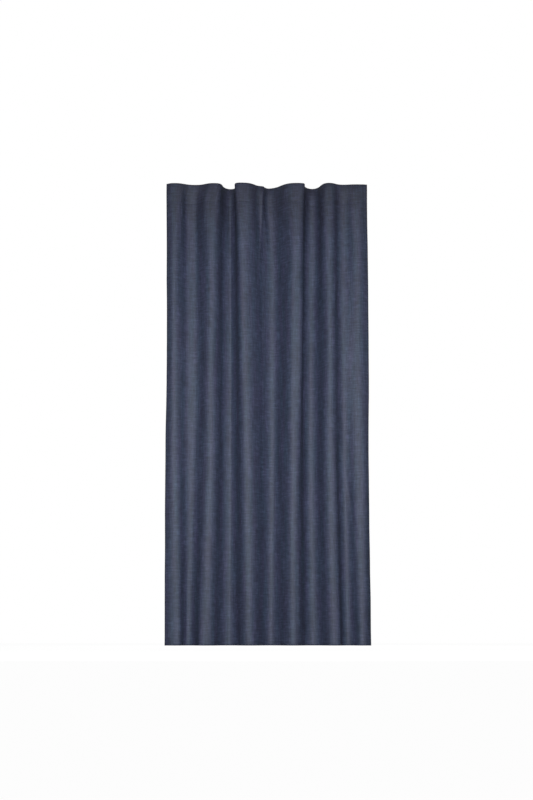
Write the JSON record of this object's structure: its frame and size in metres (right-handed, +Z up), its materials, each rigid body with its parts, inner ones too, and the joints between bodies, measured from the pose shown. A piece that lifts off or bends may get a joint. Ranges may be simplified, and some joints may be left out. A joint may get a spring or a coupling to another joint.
{
  "type": "curtain panel",
  "caption": "Plain dark blue-grey linen-look curtain panel hanging full length in soft uneven vertical folds, with turned hems and no visible fixings.",
  "frame": {"origin": "top edge of the cloth, in the middle of its hung width, level with the backs of its folds, where the heading is held", "axes": "+X to the right seen from the room, -Y towards the room, which the cloth's face looks to, +Z up along the drop"},
  "size_m": [1.0556, 0.1098, 2.4],
  "materials": {
    "cloth": "plain linen-look weave in dark blue-grey, with fine slubs across and a soft satin lustre on the folds"
  },
  "bodies": {
    "root": {"panel": "cloth"}
  },
  "joints": []
}
